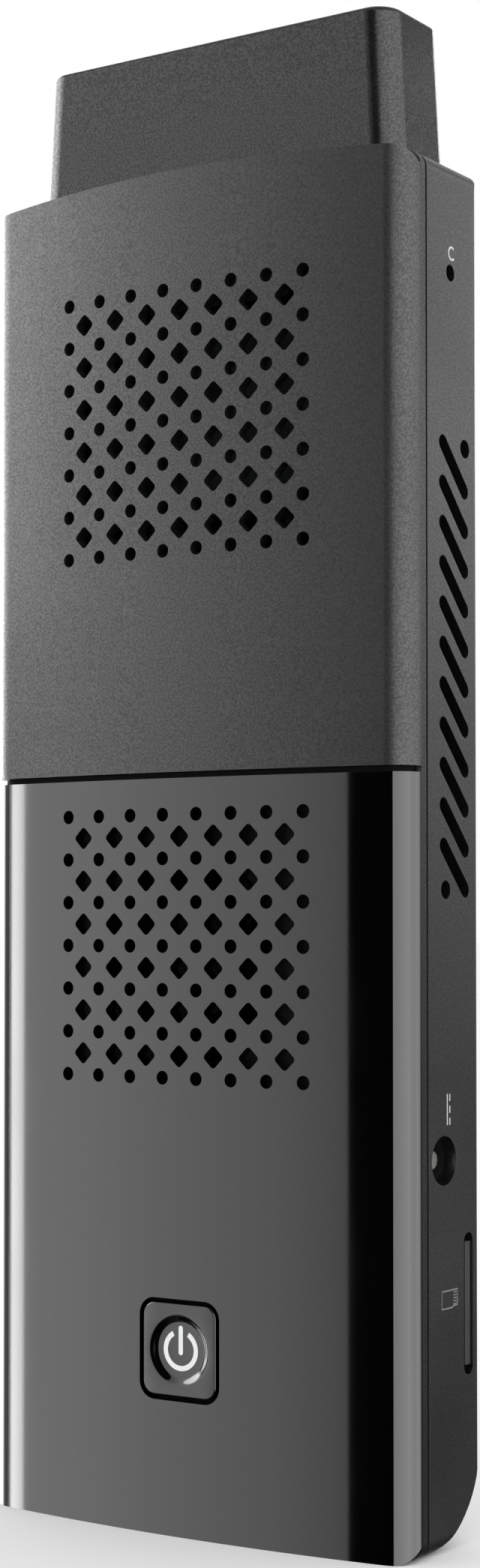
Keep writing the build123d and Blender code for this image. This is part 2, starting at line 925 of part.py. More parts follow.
def inlet_body():
    mouth = inner_side_x - seat_clearance
    near = 2 * inlet_y - board_front_y
    half = inlet_width / 2
    body = block(mouth - inlet_length, mouth, near, board_front_y, inlet_z - half, inlet_z + half)
    bore = disc_x(inlet_y, inlet_z, inlet_bore_radius, mouth - inlet_bore_depth, mouth + overrun)
    ring_outside = inlet_ring_radius + inlet_ring_wall
    ring_end = mouth - inlet_ring_depth - inlet_ring_length
    ring_seat = disc_x(inlet_y, inlet_z, ring_outside, ring_end, mouth + overrun)
    return body - bore - ring_seat


def inlet_ring():
    start = inner_side_x - seat_clearance - inlet_ring_depth - inlet_ring_length
    end = start + inlet_ring_length
    outer = disc_x(inlet_y, inlet_z, inlet_ring_radius + inlet_ring_wall, start, end)
    return outer - disc_x(inlet_y, inlet_z, inlet_ring_radius, start - overrun, end + overrun)


def inlet_pin():
    floor = inner_side_x - seat_clearance - inlet_bore_depth
    return disc_x(inlet_y, inlet_z, inlet_pin_radius, floor, floor + inlet_pin_length)


def card_socket_base():
    mouth = inner_side_x - seat_clearance
    start = mouth - card_socket_length
    low = card_slot_z - card_socket_width / 2
    high = card_slot_z + card_socket_width / 2
    rail_top = board_back_y + card_base + card_gap
    base = block(start, mouth, board_back_y, board_back_y + card_base, low, high)
    base += block(start, mouth, board_back_y, rail_top, low, low + card_rail)
    base += block(start, mouth, board_back_y, rail_top, high - card_rail, high)
    back_stop = block(start, start + card_rail, board_back_y, rail_top, low, high)
    return base + back_stop


def card_socket_cover():
    mouth = inner_side_x - seat_clearance
    near = board_back_y + card_base + card_gap
    start = mouth - card_socket_length
    half = card_socket_width / 2
    return block(start, mouth, near, near + card_sheet, card_slot_z - half, card_slot_z + half)


def memory_card():
    # A blank card in the socket, with the thicker lip that a nail catches.
    near = board_back_y + card_base + seat_clearance
    end = half_width - blank_below_side
    start = inner_side_x - seat_clearance - card_socket_length + card_rail + blank_back_gap
    low = card_slot_z - blank_width / 2
    high = card_slot_z + blank_width / 2
    body = block(start, end - blank_lip / 2, near, near + blank_thickness, low, high)
    lip = block(end - blank_lip, end, near, near + blank_lip_thickness - seat_clearance, low, high)
    return body + lip


def switch_front_y():
    return board_front_y - switch_body_height


def power_switch_body():
    front = switch_front_y()
    body = chip(0, key_z, switch_side, switch_side, front, board_front_y)
    depth = switch_plunger_in + key_travel + flange_gap
    return body - disc_y(0, key_z, switch_plunger_radius + plunger_play, front - overrun, front + depth)


def power_switch_plunger():
    front = switch_front_y()
    return disc_y(0, key_z, switch_plunger_radius, front - switch_plunger_out, front + switch_plunger_in)


def power_led():
    return chip(led_offset_x, key_z, led_width, led_length, board_front_y - led_height, board_front_y)


def symbol_sketch():
    ring = Circle(symbol_radius + symbol_stroke / 2) - Circle(symbol_radius - symbol_stroke / 2)
    reach = 2 * symbol_radius
    opening = math.radians(symbol_gap_angle) / 2
    spread = reach * math.tan(opening)
    wedge = make_face(Polyline((0, 0), (spread, reach), (-spread, reach), close=True))
    length = symbol_bar_top - symbol_bar_bottom
    middle = (symbol_bar_top + symbol_bar_bottom) / 2
    bar = Pos(0, middle) * Rot(0, 0, 90) * SlotOverall(length, symbol_stroke)
    return (ring - wedge) + bar


def dish_floor_y():
    return front_y + dish_depth


def power_symbol():
    start = dish_floor_y()
    return prism_y(Pos(0, key_z) * symbol_sketch(), start, start + symbol_depth)


def power_key():
    face = front_y + seat_clearance
    back = front_y + key_thickness
    outline = Pos(0, key_z) * RectangleRounded(key_width, key_height, key_corner)
    key = prism_y(outline, face, back)
    wide = Plane.XZ.offset(-face) * (Pos(0, key_z) * Circle(dish_radius))
    narrow = Plane.XZ.offset(-dish_floor_y()) * (Pos(0, key_z) * Circle(dish_floor_radius))
    key -= loft([wide, narrow])
    flange_y = front_y + wall + flange_gap
    flange_width = key_width + 2 * flange_rim
    flange_height = key_height + 2 * flange_rim
    flange = RectangleRounded(flange_width, flange_height, key_corner + flange_rim)
    key += prism_y(outline, back, flange_y)
    key += prism_y(Pos(0, key_z) * flange, flange_y, flange_y + flange_thickness)
    stem_end = switch_front_y() - switch_plunger_out - stem_gap
    key += disc_y(0, key_z, stem_radius, flange_y, stem_end)
    return key - power_symbol()


def reset_body_x():
    return board_half_width - reset_body_length


def reset_switch_body():
    start = reset_body_x()
    half = reset_body_width / 2
    body = block(
        start,
        board_half_width,
        board_front_y - reset_body_thickness,
        board_front_y,
        reset_z - half,
        reset_z + half,
    )
    hole = reset_plunger_side / 2 + plunger_play
    inside = board_half_width - reset_plunger_in - reset_travel - flange_gap
    outside = board_half_width + overrun
    return body - block(inside, outside, reset_y - hole, reset_y + hole, reset_z - hole, reset_z + hole)


def reset_switch_plunger():
    half = reset_plunger_side / 2
    start = board_half_width - reset_plunger_in
    end = board_half_width + reset_plunger_out
    return block(start, end, reset_y - half, reset_y + half, reset_z - half, reset_z + half)


def fan_feet():
    reach = fan_half - fan_foot_inset
    return [(x, fan_z + z) for x in (-reach, reach) for z in (-reach, reach)]


def fan_housing():
    # A square box open upwards, where the air leaves, with feet that stand on the board.
    lid_y = fan_front_y + fan_lid_sheet
    low = fan_z - fan_half
    high = fan_z + fan_half
    shell = block(-fan_half, fan_half, lid_y, fan_back_y, low, high)
    floor = fan_back_y - fan_plate
    inner = fan_half - fan_wall
    room = block(-inner, inner, lid_y - overrun, floor, fan_z, high + overrun)
    scroll = disc_y(0, fan_z, fan_scroll_radius, lid_y - overrun, floor)
    shell = shell - room - scroll
    for x, z in fan_feet():
        shell += disc_y(x, z, fan_foot_radius, floor, board_front_y)
    shell += disc_y(0, fan_z, shaft_boss_radius, floor - shaft_boss_height, floor)
    return shell - disc_y(0, fan_z, shaft_radius, floor - shaft_boss_height - overrun, fan_back_y)


def fan_lid():
    outline = Pos(0, fan_z) * RectangleRounded(2 * fan_half, 2 * fan_half, fan_wall)
    lid = prism_y(outline, fan_front_y, fan_front_y + fan_lid_sheet)
    return lid - disc_y(0, fan_z, fan_intake_radius, fan_front_y - overrun, fan_front_y + overrun)


def rotor_front_y():
    return fan_front_y + fan_lid_sheet + rotor_front_gap


def rotor_back_y():
    return fan_back_y - fan_plate - rotor_back_gap


def fan_shaft():
    return disc_y(0, fan_z, shaft_radius, rotor_front_y() + rotor_hub_wall / 2, fan_back_y)


def fan_coil():
    floor = fan_back_y - fan_plate
    ring = disc_y(0, fan_z, coil_ring_radius, floor - coil_ring_height, floor)
    return ring - disc_y(0, fan_z, coil_ring_inner, floor - coil_ring_height - overrun, floor + overrun)


def rotor_blade():
    # One swept blade, drawn on the face of the rotor from its hub to its rim.
    middle = (rotor_blade_root + rotor_radius) / 2
    tip_angle = math.radians(rotor_blade_sweep)
    mid_angle = tip_angle * rotor_blade_bend_share
    start = (rotor_blade_root, 0)
    half_way = (middle * math.cos(mid_angle), middle * math.sin(mid_angle))
    end = (rotor_radius * math.cos(tip_angle), rotor_radius * math.sin(tip_angle))
    inner = ThreePointArc(start, half_way, end)
    outer = inner.rotate(Axis.Z, math.degrees(rotor_blade_thickness / middle))
    face = make_face([inner, Line(inner @ 1, outer @ 1), outer, Line(outer @ 0, inner @ 0)])
    return face


def fan_rotor():
    front = rotor_front_y()
    back = rotor_back_y()
    hub = disc_y(0, fan_z, rotor_hub_radius, front, back)
    hub -= disc_y(0, fan_z, rotor_hub_radius - rotor_hub_wall, front + rotor_hub_wall, back + overrun)
    sleeve = disc_y(0, fan_z, shaft_boss_radius, front, back - shaft_boss_height)
    disc = disc_y(0, fan_z, rotor_disc_radius, back - rotor_disc, back)
    disc -= disc_y(0, fan_z, rotor_hub_radius - rotor_hub_wall, front, back + overrun)
    blade = rotor_blade()
    blades = []
    for index in range(rotor_blade_count):
        turn = Rot(0, 0, 360 * index / rotor_blade_count)
        blades.append(prism_y(Pos(0, fan_z) * (turn * blade), front, back))
    rotor = hub + sleeve + disc + blades
    return rotor - disc_y(0, fan_z, shaft_radius + shaft_play, front + rotor_hub_wall / 2, back + overrun)


def fan_lead():
    # A flat three-wire lead from the blower's edge down to its plug on the board.
    start_z = fan_z - fan_half
    end_z = fan_plug_z + fan_plug_length / 2
    top = fan_back_y
    low = board_front_y - fan_plug_height / 2
    thick = fan_lead_thickness
    line = Polyline(
        (top - thick, start_z),
        (top, start_z),
        (top, start_z - thick),
        (low + thick / 2, end_z + thick),
        (low + thick / 2, end_z),
        (low - thick / 2, end_z),
        (low - thick / 2, end_z + thick),
        (top - thick, start_z - thick),
        close=True,
    )
    half = fan_lead_width / 2
    return prism_x(make_face(line), fan_plug_x - half, fan_plug_x + half)


def fan_plug():
    near = board_front_y - fan_plug_height
    return chip(fan_plug_x, fan_plug_z, fan_plug_width, fan_plug_length, near, board_front_y)


upper_cover, lower_panel = covers()
save(upper_cover, "upper_cover")
save(lower_panel, "lower_panel")
save(front_frame(), "front_frame")
save(rear_shell(), "rear_shell")
save(case_screws(), "case_screws")
save(hdmi_cap(), "hdmi_cap")
save(hdmi_plug_shell(), "hdmi_plug_shell")
save(hdmi_plug_core(), "hdmi_plug_core")
save(hdmi_contacts(), "hdmi_contacts")
save(mainboard(), "mainboard")
save(soc_package(), "soc_package")
save(thermal_pad(), "thermal_pad")
save(heatsink(), "heatsink")
save(sink_screws(), "sink_screws")
save(memory_chips(), "memory_chips")
save(storage_chip(), "storage_chip")
save(radio_module(), "radio_module")
save(chip_aerial(), "chip_aerial")
save(power_coils(), "power_coils")
save(support_chips(), "support_chips")
save(usb_shell(usb_z_upper), "usb_shell_upper")
save(usb_shell(usb_z_lower), "usb_shell_lower")
save(usb_tongue(usb_z_upper), "usb_tongue_upper")
save(usb_tongue(usb_z_lower), "usb_tongue_lower")
save(usb_contacts(usb_z_upper), "usb_contacts_upper")
save(usb_contacts(usb_z_lower), "usb_contacts_lower")
save(audio_jack(), "audio_jack")
save(inlet_body(), "dc_inlet_body")
save(inlet_ring(), "dc_inlet_ring")
save(inlet_pin(), "dc_inlet_pin")
save(card_socket_base(), "card_socket_base")
save(card_socket_cover(), "card_socket_cover")
save(memory_card(), "memory_card")
save(power_switch_body(), "power_switch_body")
save(power_switch_plunger(), "power_switch_plunger")
save(power_led(), "power_led")
save(power_key(), "power_key")
save(power_symbol(), "power_symbol")
save(reset_switch_body(), "reset_switch_body")
save(reset_switch_plunger(), "reset_switch_plunger")
save(fan_housing(), "fan_housing")
save(fan_lid(), "fan_lid")
save(fan_shaft(), "fan_shaft")
save(fan_coil(), "fan_coil")
save(fan_rotor(), "fan_rotor")
save(fan_lead(), "fan_lead")
save(fan_plug(), "fan_plug")
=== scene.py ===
import math
import bmesh
import bpy
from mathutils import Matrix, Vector


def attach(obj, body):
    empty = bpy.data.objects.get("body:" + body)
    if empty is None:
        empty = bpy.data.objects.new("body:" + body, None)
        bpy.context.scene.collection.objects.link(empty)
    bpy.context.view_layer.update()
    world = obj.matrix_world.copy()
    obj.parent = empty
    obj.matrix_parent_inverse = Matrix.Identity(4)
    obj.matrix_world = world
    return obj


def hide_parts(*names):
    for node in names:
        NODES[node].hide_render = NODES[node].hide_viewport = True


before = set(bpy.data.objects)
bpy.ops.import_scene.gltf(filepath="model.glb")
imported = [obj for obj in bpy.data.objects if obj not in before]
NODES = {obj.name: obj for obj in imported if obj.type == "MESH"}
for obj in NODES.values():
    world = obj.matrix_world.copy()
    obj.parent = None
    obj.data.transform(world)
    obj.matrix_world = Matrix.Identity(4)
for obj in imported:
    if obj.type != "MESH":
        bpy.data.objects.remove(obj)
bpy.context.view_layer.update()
MM = 0.001

# The body's outside, in millimetres, as in the part's source
HALF_WIDTH = 23.1
BODY_TOP = -2.2
BODY_BOTTOM = -126.8
FRONT_Y = -9.0
FRONT_RADIUS = 164.5
EDGE_RADIUS = 2.7
TOP_BOW = 0.95
CORNER_RADIUS = 1.5
COVER_BACK_Y = -5.15
WALL = 1.2
GROOVE_Z = -57.8
GROOVE_WIDTH = 0.56
VENT_PITCH_X = 3.716
VENT_PITCH_Z = 4.0
VENT_COLUMNS = 8
VENT_ROWS = 7
VENT_HOLE_RADIUS = 0.64
VENT_SQUARE_SIDE = 1.6
VENT_SQUARE_ROUND = 0.34
UPPER_VENT_Z = -25.2
LOWER_VENT_Z = -73.4
KEY_Z = -110.0
KEY_WIDTH = 7.95
KEY_HEIGHT = 8.4
KEY_CORNER = 1.2
KEY_GAP = 0.42


# Camera, from the photograph's perspective: the photograph's own lengths are in pixels,
# the sensor in millimetres, the camera's place in metres and its angles in degrees
PHOTO_HEIGHT = 2092
FOCAL_LENGTH = 3521
VERTICAL_SHIFT = 89
SENSOR_HEIGHT = 36.0
NEAREST_SEEN = 0.01
CAMERA_PLACE = (0.1377, -0.2057, -0.0711)
CAMERA_TILT = 1.522
CAMERA_TURN = 33.67


def make_camera():
    data = bpy.data.cameras.new("camera")
    data.sensor_fit = "VERTICAL"
    data.sensor_height = SENSOR_HEIGHT
    data.lens = FOCAL_LENGTH / PHOTO_HEIGHT * SENSOR_HEIGHT
    data.shift_y = VERTICAL_SHIFT / PHOTO_HEIGHT
    data.clip_start = NEAREST_SEEN
    camera = bpy.data.objects.new("camera", data)
    camera.location = CAMERA_PLACE
    camera.rotation_euler = (math.radians(90 + CAMERA_TILT), 0, math.radians(CAMERA_TURN))
    bpy.context.scene.collection.objects.link(camera)
    bpy.context.scene.camera = camera


# Materials, lengths in metres unless a name says otherwise
BROAD_SCALE = 60.0
BEVEL_SAMPLES = 4
WEAR_RADIUS = 0.0002
WEAR_GAIN = 3.0
WEAR_LIGHTER = 1.6
WEAR_LIFT = 0.02
LEAST_ROUGH = 0.02
COAT_GRAIN_RATIO = 1.3
GAP_TOP = -1.0 * MM
GAP_SHADE = 0.3
GAP_ROUGHNESS = 0.95


def new_material(name):
    material = bpy.data.materials.new(name)
    material.use_nodes = True
    tree = material.node_tree
    tree.nodes.clear()
    output = tree.nodes.new("ShaderNodeOutputMaterial")
    shader = tree.nodes.new("ShaderNodeBsdfPrincipled")
    tree.links.new(shader.outputs[0], output.inputs[0])
    return material, tree, shader


def add_noise(tree, coords, scale, detail=3.0, stretch=None):
    noise = tree.nodes.new("ShaderNodeTexNoise")
    noise.inputs["Scale"].default_value = scale
    noise.inputs["Detail"].default_value = detail
    source = coords
    if stretch:
        mapping = tree.nodes.new("ShaderNodeMapping")
        mapping.inputs["Scale"].default_value = stretch
        tree.links.new(coords, mapping.inputs["Vector"])
        source = mapping.outputs["Vector"]
    tree.links.new(source, noise.inputs["Vector"])
    return noise.outputs[0]


def add_ramp(tree, value, stops):
    ramp = tree.nodes.new("ShaderNodeValToRGB")
    while len(ramp.color_ramp.elements) < len(stops):
        ramp.color_ramp.elements.new(0.5)
    for element, (place, colour) in zip(ramp.color_ramp.elements, stops):
        element.position = place
        element.color = (*colour, 1.0)
    tree.links.new(value, ramp.inputs[0])
    return ramp.outputs[0]


def mixed(tree, factor, first, second):
    mix = tree.nodes.new("ShaderNodeMix")
    mix.data_type = "RGBA"
    tree.links.new(factor, mix.inputs[0])
    for socket, value in ((mix.inputs[6], first), (mix.inputs[7], second)):
        if isinstance(value, tuple):
            socket.default_value = (*value, 1.0)
        else:
            tree.links.new(value, socket)
    return mix.outputs[2]


def maths(tree, operation, first, second=0.0):
    node = tree.nodes.new("ShaderNodeMath")
    node.operation = operation
    for socket, value in zip(node.inputs, (first, second)):
        if isinstance(value, (int, float)):
            socket.default_value = value
        else:
            tree.links.new(value, socket)
    return node.outputs[0]


def rounded_normal(tree, radius):
    bevel = tree.nodes.new("ShaderNodeBevel")
    bevel.samples = BEVEL_SAMPLES
    bevel.inputs[0].default_value = radius
    return bevel.outputs[0]


def edge_mask(tree, radius):
    # Bright where the surface turns within the given radius.
    bevel = rounded_normal(tree, radius)
    geometry = tree.nodes.new("ShaderNodeNewGeometry")
    dot = tree.nodes.new("ShaderNodeVectorMath")
    dot.operation = "DOT_PRODUCT"
    tree.links.new(bevel, dot.inputs[0])
    tree.links.new(geometry.outputs["Normal"], dot.inputs[1])
    turned = maths(tree, "SUBTRACT", 1.0, dot.outputs["Value"])
    return maths(tree, "MULTIPLY", turned, WEAR_GAIN)


def finish(
    name,
    base,
    rough,
    metallic=0.0,
    specular=0.5,
    coat=0.0,
    coat_rough=0.05,
    grain=4000.0,
    grain_depth=0.02,
    speckle=0.12,
    cloud=0.08,
    wear=0.25,
    rough_range=0.06,
    stretch=None,
    soft_edges=0.0,
    coat_grain=None,
    painted_shade_front=None,
):
    # A moulded or metal surface: grain, patchy colour and gloss, edges a little brighter, and, where asked, painted
    # shade on a gap's floor.
    # The grain's depth, the soft edges and the front of the painted shade are in millimetres.
    material, tree, shader = new_material(name)
    coords = tree.nodes.new("ShaderNodeTexCoord").outputs["Object"]
    fine = add_noise(tree, coords, grain, 2.0, stretch)
    broad = add_noise(tree, coords, BROAD_SCALE)
    dark = tuple(c * (1 - speckle) for c in base)
    light = tuple(min(1.0, c * (1 + speckle)) for c in base)
    colour = add_ramp(tree, fine, [(0.3, dark), (0.7, light)])
    tint = tuple(min(1.0, c * (1 + 2 * cloud)) for c in base)
    patch = add_ramp(tree, broad, [(0.35, (0.0, 0.0, 0.0)), (0.7, (cloud * 4,) * 3)])
    colour = mixed(tree, patch, colour, tint)
    if wear:
        mask = edge_mask(tree, WEAR_RADIUS)
        brighter = tuple(min(1.0, c * WEAR_LIGHTER + WEAR_LIFT) for c in base)
        colour = mixed(tree, maths(tree, "MULTIPLY", mask, wear), colour, brighter)
    low = max(LEAST_ROUGH, rough - rough_range)
    high = min(1.0, rough + rough_range)
    gloss = add_ramp(tree, broad, [(0.3, (low,) * 3), (0.7, (high,) * 3)])
    painted_shade = None
    if painted_shade_front is not None:
        # The floor of a narrow gap, in front of a given depth and below the body's top, is made dull and gets painted
        # shade: a darker colour.
        parts = tree.nodes.new("ShaderNodeSeparateXYZ")
        tree.links.new(coords, parts.inputs[0])
        near = maths(tree, "LESS_THAN", parts.outputs[1], painted_shade_front * MM)
        painted_shade = maths(tree, "MULTIPLY", near, maths(tree, "LESS_THAN", parts.outputs[2], GAP_TOP))
        colour = mixed(tree, painted_shade, colour, tuple(c * GAP_SHADE for c in base))
        gloss = mixed(tree, painted_shade, gloss, (GAP_ROUGHNESS,) * 3)
    tree.links.new(colour, shader.inputs["Base Color"])
    tree.links.new(gloss, shader.inputs["Roughness"])
    bump = tree.nodes.new("ShaderNodeBump")
    bump.inputs["Strength"].default_value = 1.0
    bump.inputs["Distance"].default_value = grain_depth * MM
    tree.links.new(fine, bump.inputs["Height"])
    if soft_edges:
        tree.links.new(rounded_normal(tree, soft_edges * MM), bump.inputs["Normal"])
    tree.links.new(bump.outputs[0], shader.inputs["Normal"])
    shader.inputs["Metallic"].default_value = metallic
    shader.inputs["Specular IOR Level"].default_value = specular
    shader.inputs["Coat Weight"].default_value = coat
    shader.inputs["Coat Roughness"].default_value = coat_rough
    if coat_grain:
        specks = add_noise(tree, coords, grain * COAT_GRAIN_RATIO, 1.0)
        low, high = coat_grain
        weight = add_ramp(tree, specks, [(0.4, (low,) * 3), (0.6, (high,) * 3)])
        # The painted shade on a gap's floor also takes the coat away.
        if painted_shade is not None:
            weight = mixed(tree, painted_shade, weight, (0.0, 0.0, 0.0))
        tree.links.new(weight, shader.inputs["Coat Weight"])
    return material


def board_material():
    # Solder mask over copper tracks, with a fine glass weave under it; its greens are kept close to black, darker
    # than the board's own green, as painted shade for the case's inside seen through the vents.
    material, tree, shader = new_material("board_green")
    coords = tree.nodes.new("ShaderNodeTexCoord").outputs["Object"]
    wave = tree.nodes.new("ShaderNodeTexWave")
    wave.inputs["Scale"].default_value = 260.0
    wave.inputs["Distortion"].default_value = 3.0
    wave.inputs["Detail"].default_value = 1.0
    tree.links.new(coords, wave.inputs["Vector"])
    tracks = add_ramp(tree, wave.outputs["Fac"], [(0.45, (0.0,) * 3), (0.55, (1.0,) * 3)])
    fine = add_noise(tree, coords, 2500.0)
    mask = add_ramp(tree, fine, [(0.3, (0.003, 0.014, 0.009)), (0.7, (0.004, 0.018, 0.012))])
    colour = mixed(tree, tracks, mask, (0.006, 0.026, 0.016))
    tree.links.new(colour, shader.inputs["Base Color"])
    shader.inputs["Roughness"].default_value = 0.35
    bump = tree.nodes.new("ShaderNodeBump")
    bump.inputs["Distance"].default_value = 0.03 * MM
    tree.links.new(tracks, bump.inputs["Height"])
    tree.links.new(bump.outputs[0], shader.inputs["Normal"])
    return material


# The fine-grained matt plastic of the case and of the plug's cover, and the polished one of the panel and the key
MATT_BLACK = (0.004,) * 3
MATT = {
    "coat": 0.6,
    "coat_rough": 0.28,
    "coat_grain": (0.3, 0.9),
    "grain": 4200,
    "grain_depth": 0.02,
    "speckle": 0.5,
    "wear": 0.1,
}
GLOSS_BLACK = (0.0012,) * 3
GLOSS = {
    "coat": 1.0,
    "grain": 2600,
    "grain_depth": 0.0004,
    "speckle": 0.05,
    "cloud": 0.04,
    "rough_range": 0.015,
    "wear": 0.1,
}
# Depths, in millimetres, in front of which the floors of the shell's and the frame's seams get painted shade
SHELL_GAP_Y = -3.93
FRAME_GAP_Y = -5.06


def make_materials():
    return {
        "rear_shell": finish("rear_shell", MATT_BLACK, 0.34, soft_edges=0.05, painted_shade_front=SHELL_GAP_Y, **MATT),
        "upper_cover": finish("upper_cover", MATT_BLACK, 0.48, **dict(MATT, coat_rough=0.32)),
        "lower_panel": finish("lower_panel", GLOSS_BLACK, 0.05, coat_rough=0.02, **GLOSS),
        "front_frame": finish("front_frame", MATT_BLACK, 0.34, specular=0.3, painted_shade_front=FRAME_GAP_Y, **MATT),
        "hdmi_cap": finish("hdmi_cap", MATT_BLACK, 0.24, specular=0.3, soft_edges=0.1, **MATT),
        "button_key": finish("button_key", GLOSS_BLACK, 0.09, coat_rough=0.03, **GLOSS),
        "symbol_white": finish("symbol_white", (0.82, 0.83, 0.83), 0.35, speckle=0.03, wear=0.1),
        "plug_steel": finish(
            "plug_steel", (0.62, 0.61, 0.59), 0.26, metallic=1.0, grain=2400, stretch=(1, 1, 0.1), soft_edges=0.1
        ),
        "contact_gold": finish("contact_gold", (0.83, 0.6, 0.26), 0.22, metallic=1.0, grain=3000),
        "black_insulator": finish("black_insulator", (0.012, 0.012, 0.012), 0.5, soft_edges=0.08),
        "board_green": board_material(),
        "chip_black": finish("chip_black", (0.016, 0.016, 0.017), 0.6, grain=3600, soft_edges=0.08),
        "heat_aluminium": finish(
            "heat_aluminium", (0.02, 0.02, 0.021), 0.5, metallic=0.6, grain=1800, stretch=(1, 1, 0.06)
        ),
        "pad_grey": finish("pad_grey", (0.42, 0.44, 0.47), 0.8, grain=2200, grain_depth=0.03),
        "screw_steel": finish("screw_steel", (0.09, 0.09, 0.092), 0.5, metallic=0.9, soft_edges=0.1),
        # The shields' steel is coloured near black, darker than its own steel tone, as painted shade for the case's
        # inside seen through the vents.
        "shield_steel": finish(
            "shield_steel", (0.06, 0.06, 0.061), 0.45, metallic=0.8, grain=1900, stretch=(1, 1, 0.08), soft_edges=0.06
        ),
        "fan_black": finish("fan_black", (0.005, 0.005, 0.005), 0.6, specular=0.2, soft_edges=0.08),
        "copper": finish("copper", (0.62, 0.3, 0.15), 0.3, metallic=1.0, grain=900, grain_depth=0.08),
        "lead_cover": finish("lead_cover", (0.04, 0.04, 0.04), 0.5, grain=1500),
        "connector_white": finish("connector_white", (0.72, 0.71, 0.67), 0.45, soft_edges=0.08),
        "ceramic": finish("ceramic", (0.66, 0.64, 0.58), 0.5, soft_edges=0.08),
        "flange_matt": finish("flange_matt", (0.01, 0.01, 0.01), 0.75, specular=0.1, grain=2600, grain_depth=0.02),
        "fan_lid_black": finish("fan_lid_black", (0.014, 0.014, 0.015), 0.55, grain=2400, soft_edges=0.06),
        "card_blank": finish("card_blank", (0.035, 0.035, 0.036), 0.4, grain=3800, speckle=0.2, soft_edges=0.05),
        "led_clear": finish("led_clear", (0.75, 0.75, 0.7), 0.15, speckle=0.04),
    }


# Which nodes of the part wear which material
NODE_SLOTS = {
    "rear_shell": ["rear_shell"],
    "upper_cover": ["upper_cover"],
    "lower_panel": ["lower_panel"],
    "front_frame": ["front_frame"],
    "hdmi_cap": ["hdmi_cap"],
    "button_key": ["power_key"],
    "symbol_white": ["power_symbol"],
    "plug_steel": [
        "hdmi_plug_shell",
        "usb_shell_upper",
        "usb_shell_lower",
        "dc_inlet_ring",
        "dc_inlet_pin",
        "fan_shaft",
    ],
    "contact_gold": ["hdmi_contacts", "usb_contacts_upper", "usb_contacts_lower"],
    "black_insulator": [
        "hdmi_plug_core",
        "usb_tongue_upper",
        "usb_tongue_lower",
        "audio_jack",
        "dc_inlet_body",
        "card_socket_base",
        "power_switch_body",
        "power_switch_plunger",
        "reset_switch_body",
    ],
    "board_green": ["mainboard"],
    "chip_black": ["soc_package", "memory_chips", "storage_chip", "power_coils", "support_chips"],
    "heat_aluminium": ["heatsink"],
    "pad_grey": ["thermal_pad"],
    "screw_steel": ["case_screws", "sink_screws"],
    "shield_steel": ["radio_module", "card_socket_cover"],
    "fan_lid_black": ["fan_lid"],
    "card_blank": ["memory_card"],
    "fan_black": ["fan_housing", "fan_rotor"],
    "copper": ["fan_coil"],
    "lead_cover": ["fan_lead"],
    "connector_white": ["reset_switch_plunger", "fan_plug"],
    "ceramic": ["chip_aerial"],
    "led_clear": ["power_led"],
}


# Faces that meet at more than this many degrees keep a sharp edge
NODE_EDGE_ANGLE = 28
KEY_EDGE_ANGLE = 35


def dress_nodes(made):
    for slot, names in NODE_SLOTS.items():
        for name in names:
            mesh = NODES[name].data
            mesh.materials.clear()
            mesh.materials.append(made[slot])
            for polygon in mesh.polygons:
                polygon.use_smooth = True
            mesh.set_sharp_from_angle(angle=math.radians(NODE_EDGE_ANGLE))


# The front's section from rim to rim, unrolled: a place along it gives a point and an outward direction
ROUND_X = HALF_WIDTH - EDGE_RADIUS
CROWN_Y = FRONT_Y + FRONT_RADIUS
ROUND_Y = CROWN_Y - math.sqrt((FRONT_RADIUS - EDGE_RADIUS) ** 2 - ROUND_X**2)
ROUND_START = math.asin(ROUND_X / (FRONT_RADIUS - EDGE_RADIUS))
CROWN_RUN = FRONT_RADIUS * ROUND_START
ROUND_RUN = EDGE_RADIUS * (math.pi / 2 - ROUND_START)
CROWN_STEPS = 24
ROUND_STEPS = 18
VENT_HOLE_CORNERS = 24
CUT_TOLERANCE = 1e-5


def section(run):
    side = 1 if run >= 0 else -1
    run = abs(run)
    if run <= CROWN_RUN:
        angle = run / FRONT_RADIUS
        x = FRONT_RADIUS * math.sin(angle)
        y = CROWN_Y - FRONT_RADIUS * math.cos(angle)
    elif run <= CROWN_RUN + ROUND_RUN:
        angle = ROUND_START + (run - CROWN_RUN) / EDGE_RADIUS
        x = ROUND_X + EDGE_RADIUS * math.sin(angle)
        y = ROUND_Y - EDGE_RADIUS * math.cos(angle)
    else:
        # Past the end of the rounding by no more than a rounding error.
        angle = math.pi / 2
        x = HALF_WIDTH
        y = ROUND_Y + (run - CROWN_RUN - ROUND_RUN)
    return side * x, y, side * angle


def run_of(x):
    side = 1 if x >= 0 else -1
    return side * FRONT_RADIUS * math.asin(abs(x) / FRONT_RADIUS)


def end_height(x):
    # How high the top end reaches at a place across the body, with its rounded corners.
    bow_radius = (HALF_WIDTH**2 + TOP_BOW**2) / (2 * TOP_BOW)
    inner = HALF_WIDTH - CORNER_RADIUS
    low = BODY_TOP - bow_radius + math.sqrt(bow_radius**2 - min(abs(x), inner) ** 2)
    if abs(x) <= inner:
        return low
    across = min(abs(x) - inner, CORNER_RADIUS)
    return low - CORNER_RADIUS + math.sqrt(CORNER_RADIUS**2 - across**2)


def bottom_height(x):
    inner = HALF_WIDTH - CORNER_RADIUS
    if abs(x) <= inner:
        return BODY_BOTTOM
    across = min(abs(x) - inner, CORNER_RADIUS)
    return BODY_BOTTOM + CORNER_RADIUS - math.sqrt(CORNER_RADIUS**2 - across**2)


def run_steps():
    steps = [CROWN_RUN * i / CROWN_STEPS for i in range(CROWN_STEPS + 1)]
    steps += [CROWN_RUN + ROUND_RUN * i / ROUND_STEPS for i in range(1, ROUND_STEPS + 1)]
    return [-s for s in reversed(steps[1:])] + steps


def circle_points(x, z, radius, count):
    return [
        (run_of(x + radius * math.cos(2 * math.pi * i / count)), z + radius * math.sin(2 * math.pi * i / count))
        for i in range(count)
    ]


